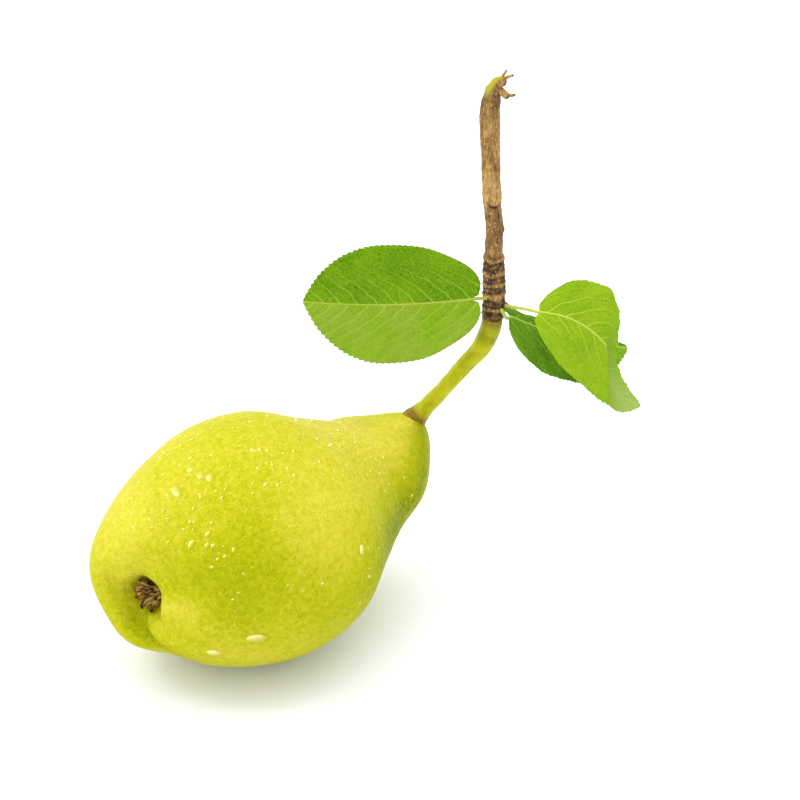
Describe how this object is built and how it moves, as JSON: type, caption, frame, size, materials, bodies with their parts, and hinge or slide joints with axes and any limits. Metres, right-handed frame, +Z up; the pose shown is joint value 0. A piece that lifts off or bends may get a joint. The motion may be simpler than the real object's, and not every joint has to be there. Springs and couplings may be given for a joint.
{
  "type": "pear",
  "caption": "Green pear lying on its side, with a dry calyx in its basin, and a curved stalk that still holds a piece of woody twig with toothed leaves.",
  "frame": {"origin": "middle of the small flat spot under the belly of the fruit, at the surface it rests on", "axes": "+X along the fruit from the calyx towards the stalk, +Z up, away from the surface"},
  "size_m": [0.1507, 0.0892, 0.1528],
  "materials": {
    "fruit": "thin waxy skin, satin",
    "calyx": "dry and rough",
    "stalk": "smooth green bark, satin",
    "spur": "rough bark, matt",
    "leaf_left": "leaf, semi-gloss",
    "leaf_right_front": "leaf, semi-gloss",
    "leaf_right_back": "leaf, semi-gloss"
  },
  "bodies": {
    "root": {"fruit": "fruit", "calyx": "calyx", "stalk": "stalk", "spur": "spur", "leaf_left": "leaf_left", "leaf_right_front": "leaf_right_front", "leaf_right_back": "leaf_right_back"}
  },
  "joints": []
}
